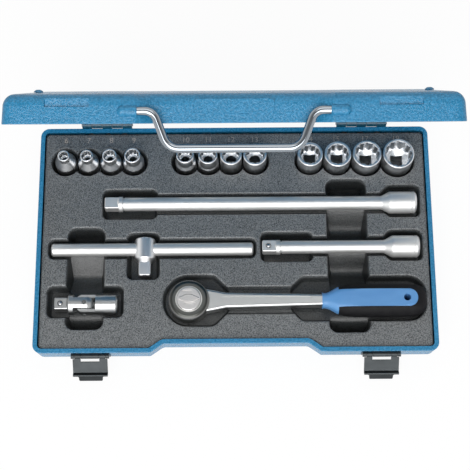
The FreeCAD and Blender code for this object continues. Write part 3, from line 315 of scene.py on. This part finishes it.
def clouded(plating, colour, tint=0.88):
    # Faint clouds between a colour and a darker tint of it
    clouds = plating.noise(CLOUD_SIZE, detail=3.0)
    darker = tuple(channel * tint for channel in colour)
    low, high = NOISE_MIDDLE
    plating.use(Base_Color=plating.colours(clouds, (low, darker), (high, colour)))


print("lines", round(LINE_SIZE / MM, 1), "mm, clouds", round(CLOUD_SIZE / MM, 1), "mm")

# %% [markdown]
# The bars have the most matt plating, which scatters some of the light as paint does. The
# sliding head is smoother, and the yokes of the universal joint are darker. The carrying
# handle is nearly a mirror.

# %% Chrome and plain steel
ROUND_THE_BAR = (1.0, 0.06, 0.06)
ROUND_THE_AXIS = (0.06, 0.06, 1.0)
ALONG_THE_LEVER = (0.05, 1.0, 1.0)
ACROSS_THE_DIAL = (1.0, 0.08, 1.0)
ALL_WAYS = (0.7, 0.7, 0.7)
CHROME = (0.80, 0.81, 0.82)

bars = plated("tool_chrome", (0.42, 0.48), ROUND_THE_BAR, 0.4, metal=0.8)
clouded(bars, (0.73, 0.73, 0.72), 0.95)
clouded(plated("head_chrome", (0.34, 0.40), ROUND_THE_BAR, 0.4), CHROME, 0.95)
clouded(plated("yoke_chrome", (0.31, 0.35), ALL_WAYS, 0.2), (0.46, 0.47, 0.47), 0.95)
clouded(plated("socket_chrome", (0.30, 0.36), ROUND_THE_AXIS, 0.4), CHROME, 0.94)
clouded(plated("handle_chrome", (0.05, 0.09), ALL_WAYS, 0.3), (0.31, 0.34, 0.37), 0.95)
clouded(plated("ball_steel", (0.14, 0.20), ALL_WAYS, 0.4), (0.42, 0.43, 0.45))
clouded(plated("joint_steel", (0.24, 0.30), ALL_WAYS, 0.6), (0.17, 0.182, 0.186))
clouded(plated("rivet_steel", (0.34, 0.44), ALL_WAYS, 1.0), (0.22, 0.23, 0.25))
clouded(plated("latch_steel", (0.34, 0.44), ALONG_THE_LEVER, 0.8), (0.06, 0.066, 0.069), 0.75)
clouded(plated("drive_steel", (0.25, 0.34), ALL_WAYS, 0.8), (0.38, 0.39, 0.40))
clouded(plated("dial_satin", (0.28, 0.36), ACROSS_THE_DIAL, 0.8), (0.58, 0.57, 0.565))
print("metals:", [name for name in finishes if name.endswith(("chrome", "steel", "satin"))])

# %% [markdown]
# The ratchet is nickel plated, and its round head is turned. Its colour is drawn by the distance
# from the axis of the dial, which is measured on the CAD piece, so the shank keeps the plain
# plating: a painted highlight makes a bright line round the dial and a lighter outer edge, and
# between them lies a dark dull ring, with painted shade darkest just inside the edge.

# %% Turned ring on the ratchet head, with painted highlights and shade
RING_START, RING_END = 9.0, 17.0
# Painted highlight of the bright line round the dial
DIAL_LINE_HIGHLIGHT = (0.62, 0.62, 0.60)
DULL = (0.115, 0.119, 0.113)
# Painted shade just inside the outer edge, then a painted highlight on the edge itself
RING_PAINTED_SHADE = (0.050, 0.052, 0.048)
OUTER_EDGE_HIGHLIGHT = (0.32, 0.32, 0.31)
PLAIN = (0.48, 0.49, 0.485)


def ring_stop(radius, colour):
    # A stop of the ring's colours at a radius in millimetres
    return (radius - RING_START) / (RING_END - RING_START), colour


nickel = plated("ratchet_nickel", (0.28, 0.33), ALL_WAYS, 0.4)
dial_low, dial_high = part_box("ratchet_dial")
axis_x, axis_y = (dial_low.x + dial_high.x) / 2, (dial_low.y + dial_high.y) / 2
distance = nickel.away_from(axis_x, axis_y)
nickel.use(Base_Color=nickel.colours(
    nickel.ranged(distance, (RING_START * MM, RING_END * MM), (0, 1)),
    ring_stop(RING_START, DIAL_LINE_HIGHLIGHT), ring_stop(10.2, DIAL_LINE_HIGHLIGHT),
    ring_stop(10.68, DULL), ring_stop(12.6, DULL),
    ring_stop(14.44, RING_PAINTED_SHADE), ring_stop(15.56, OUTER_EDGE_HIGHLIGHT), ring_stop(RING_END, PLAIN)))
print("ratchet head axis at", round(axis_x / MM, 1), round(axis_y / MM, 1), "mm")

# %% [markdown]
# The ratchet handle is moulded in two parts. The core is hard and blue, and smooth with a
# faint flow pattern.

# %% Core of the handle
FLOW_SIZE, FLOW_STRETCH = 9 * MM, (0.4, 1.0, 1.0)
CORE_SKIN, CORE_DEPTH = 0.6 * MM, 0.02 * MM
CORE_ROUGHNESS = (0.32, 0.44)

core = Finish("core_plastic")
flow = core.noise(FLOW_SIZE, detail=3.0, where=core.stretched(*FLOW_STRETCH))
core.use(Base_Color=core.colours(flow, (0.3, (0.085, 0.250, 0.520)), (0.7, (0.110, 0.290, 0.570))))
core_skin = core.noise(CORE_SKIN)
core.use(Roughness=core.ranged(core_skin, NOISE_MIDDLE, CORE_ROUGHNESS))
core.fixed(Specular_IOR_Level=0.5)
core.bumps(core_skin, CORE_DEPTH)
finishes["core_plastic"] = core.material
print("core made")

# %% [markdown]
# The grip is black soft rubber, matt and slightly dusty.

# %% Grip of the handle
DUST_SIZE = 5 * MM
GRIP_SKIN, GRIP_DEPTH = 0.45 * MM, 0.05 * MM
GRIP_ROUGHNESS = (0.52, 0.66)

grip = Finish("grip_rubber")
dust = grip.noise(DUST_SIZE, detail=4.0, rough=0.6)
grip.use(Base_Color=grip.colours(dust, (0.3, (0.005, 0.005, 0.006)), (0.75, (0.011, 0.011, 0.012))))
grip_skin = grip.noise(GRIP_SKIN)
grip.use(Roughness=grip.ranged(grip_skin, NOISE_MIDDLE, GRIP_ROUGHNESS))
grip.fixed(Specular_IOR_Level=0.15)
grip.bumps(grip_skin, GRIP_DEPTH)
finishes["grip_rubber"] = grip.material
print("grip made")

# %% [markdown]
# The record says which finish each CAD piece wears. Three chrome pieces get a finish of their
# own. Only the material slots change here; the meshes stay as they came.

# %% Dress the CAD pieces
OWN_FINISH = {
    "slide_head": "head_chrome",
    "joint_drive_yoke": "yoke_chrome",
    "joint_socket_yoke": "yoke_chrome",
}
rows = frame["record"]["subparts"]
for row in rows:
    piece = nodes[row["node"]]
    if not piece.material_slots:
        piece.data.materials.append(None)
    finish_name = OWN_FINISH.get(row["node"], row["material_slot"])
    for material_slot in piece.material_slots:
        material_slot.material = finishes[finish_name]
print("dressed", len(rows), "pieces in", len(finishes), "finishes")

# %% [markdown]
# Behind each socket its size is printed on the tray in small pale figures. The ink is a
# little worn.

# %% Ink of the sizes
WORN_SIZE = 0.8 * MM
INK_ROUGHNESS = (0.5, 0.7)

ink = Finish("size_ink")
worn = ink.noise(WORN_SIZE, detail=3.0, rough=0.7)
ink.use(Base_Color=ink.colours(worn, (0.35, (0.27, 0.235, 0.205)), (0.62, (0.50, 0.44, 0.39))))
ink.use(Roughness=ink.ranged(worn, NOISE_MIDDLE, INK_ROUGHNESS))
print("ink made")

# %% [markdown]
# Text is the natural start of a figure: it has a little thickness, so that it is a solid film
# of ink, it is turned into a mesh, and its place is applied to the mesh.

# %% Figures behind the sockets
FIGURE_HEIGHT = 4.6 * MM
# A font's size counts the whole line, so it is larger than the figure
FONT_PER_FIGURE = 1.4
FIGURE_Y = 84.2 * MM
INK_THICKNESS = 0.06 * MM

figures = []
for name in sorted(node for node in nodes if node.startswith("socket_")):
    low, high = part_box(name)
    place = ((low.x + high.x) / 2, FIGURE_Y, TRAY_TOP + INK_THICKNESS / 2)
    bpy.ops.object.select_all(action="DESELECT")
    bpy.ops.object.text_add(location=place)
    figure = bpy.context.object
    figure.data.body = str(int(name[-2:]))
    figure.data.align_x = "CENTER"
    figure.data.align_y = "CENTER"
    figure.data.size = FIGURE_HEIGHT * FONT_PER_FIGURE
    figure.data.extrude = INK_THICKNESS / 2
    bpy.ops.object.convert(target="MESH")
    bpy.ops.object.transform_apply(location=True, rotation=True, scale=True)
    figures.append(figure)
print("printed", len(figures), "sizes")

# %% [markdown]
# The figures are joined into one piece, which rides on the case with the tray.

# %% One piece of print
bpy.ops.object.select_all(action="DESELECT")
for figure in figures:
    figure.select_set(True)
bpy.context.view_layer.objects.active = figures[0]
bpy.ops.object.join()
size_figures = bpy.context.object
bpy.context.scene.cursor.location = (0, 0, 0)
bpy.ops.object.origin_set(type="ORIGIN_CURSOR")
size_figures.name = "size_figures"
size_figures.data.materials.clear()
size_figures.data.materials.append(ink.material)
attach(size_figures, "case")
print("print has", len(size_figures.data.polygons), "faces")

# %% [markdown]
# The studio is a wide white floor under soft light. The floor takes the shadow of the case,
# and shows itself to the camera and to the chrome as white paper: to their rays it mostly
# glows, and to all other rays it is plain paper.

# %% Floor
FLOOR_SIZE = 8
FLOOR_GAP = 0.0002
GLOW_SHARE = 0.93
WHITE = (1, 1, 1, 1)

bpy.ops.object.select_all(action="DESELECT")
bpy.ops.mesh.primitive_plane_add(size=FLOOR_SIZE, location=(0, 0, cad_low.z - FLOOR_GAP))
floor = bpy.context.object
floor.name = "studio_floor"
paper = Finish("studio_paper")
paper.fixed(Base_Color=(0.86, 0.86, 0.86, 1), Roughness=0.9, Specular_IOR_Level=0.1)
glow = paper.add("ShaderNodeEmission")
glow.inputs["Color"].default_value = WHITE
glow.inputs["Strength"].default_value = 1.0
rays = paper.add("ShaderNodeLightPath")
seen = paper.add("ShaderNodeMath")
seen.operation = "ADD"
paper.link(rays.outputs["Is Camera Ray"], seen.inputs[0])
paper.link(rays.outputs["Is Glossy Ray"], seen.inputs[1])
share = paper.add("ShaderNodeMath")
share.operation = "MULTIPLY"
share.inputs[1].default_value = GLOW_SHARE
paper.link(seen.outputs["Value"], share.inputs[0])
either = paper.add("ShaderNodeMixShader")
paper.link(share.outputs["Value"], either.inputs[0])
paper.link(paper.shader.outputs["BSDF"], either.inputs[1])
paper.link(glow.outputs["Emission"], either.inputs[2])
paper.link(either.outputs["Shader"], paper.tree.nodes["Material Output"].inputs["Surface"])
floor.data.materials.append(paper.material)
print("floor at", round(floor.location.z, 4))

# %% [markdown]
# The walls of the studio are white to the camera and to mirrors, but the ceiling is dim in
# mirrors, which draws the dark lines in bright metal. As a light the whole room is faint, so
# that the lamps make the shadows.

# %% World
CEILING_HEIGHTS = (0.45, 0.92)
WALL_LIGHT, CEILING_LIGHT = 1.0, 0.30
FAINT_LIGHT = 0.35
CAMERA_LIGHT = 1.0

world = bpy.data.worlds.new("studio")
bpy.context.scene.world = world
world.use_nodes = True
sky = world.node_tree
backdrop = sky.nodes["Background"]
backdrop.inputs["Color"].default_value = WHITE
sky_rays = sky.nodes.new("ShaderNodeLightPath")
heading = sky.nodes.new("ShaderNodeTexCoord")
height = sky.nodes.new("ShaderNodeSeparateXYZ")
sky.links.new(heading.outputs["Generated"], height.inputs["Vector"])


def sky_step(value, old, low, high):
    # Moves a value from its old range to low and high, each a number or another output
    node = sky.nodes.new("ShaderNodeMapRange")
    for name, end in zip(RANGE_SOCKETS, (*old, low, high)):
        if isinstance(end, (int, float)):
            node.inputs[name].default_value = end
        else:
            sky.links.new(end, node.inputs[name])
    sky.links.new(value, node.inputs["Value"])
    return node.outputs["Result"]


ceiling = sky_step(height.outputs["Z"], CEILING_HEIGHTS, WALL_LIGHT, CEILING_LIGHT)
mirrored = sky_step(sky_rays.outputs["Is Glossy Ray"], (0, 1), FAINT_LIGHT, ceiling)
strength = sky_step(sky_rays.outputs["Is Camera Ray"], (0, 1), mirrored, CAMERA_LIGHT)
sky.links.new(strength, backdrop.inputs["Strength"])
bpy.context.scene.view_settings.view_transform = "Standard"
print("world nodes:", len(sky.nodes))

# %% [markdown]
# Two soft boxes light the set: a large one in front, higher than the camera, which draws the
# bright line along every bar, and a smaller one above, a little behind, which separates
# the pockets from the tray.

# %% Lamps
def soft_box(name, place, size, power):
    bpy.ops.object.light_add(type="AREA", location=place)
    lamp = bpy.context.object
    lamp.name = name
    lamp.data.shape = "SQUARE"
    lamp.data.size = size
    lamp.data.energy = power
    to_the_set = Vector((0, 0, 0)) - Vector(place)
    lamp.rotation_euler = to_the_set.to_track_quat("-Z", "Y").to_euler()


soft_box("front_box", place=(-0.15, -1.06, 1.30), size=1.5, power=30)
soft_box("top_box", place=(0.10, 0.70, 1.45), size=0.9, power=4)

# %% [markdown]
# The camera hangs about a metre above the table, a little in front of the case, and looks
# steeply down into it through a long lens. The picture is tilted by less than half a degree.

# %% Camera
IMAGE_WIDTH = 470
FOCAL_PIXELS = 1300
SENSOR = 36
CAMERA_PLACE = (0, -0.3206, 1.0097)
CAMERA_TILT, CAMERA_ROLL = 18.1, -0.4
CLIP_END = 20

camera_data = bpy.data.cameras.new("camera")
camera_data.sensor_width = SENSOR
camera_data.lens = FOCAL_PIXELS / IMAGE_WIDTH * SENSOR
camera_data.clip_end = CLIP_END
camera = bpy.data.objects.new("camera", camera_data)
bpy.context.scene.collection.objects.link(camera)
tilt = Matrix.Rotation(math.radians(CAMERA_TILT), 4, "X")
roll = Matrix.Rotation(math.radians(CAMERA_ROLL), 4, "Z")
camera.matrix_world = Matrix.Translation(CAMERA_PLACE) @ tilt @ roll
bpy.context.scene.camera = camera
print("lens", round(camera_data.lens, 1), "mm")
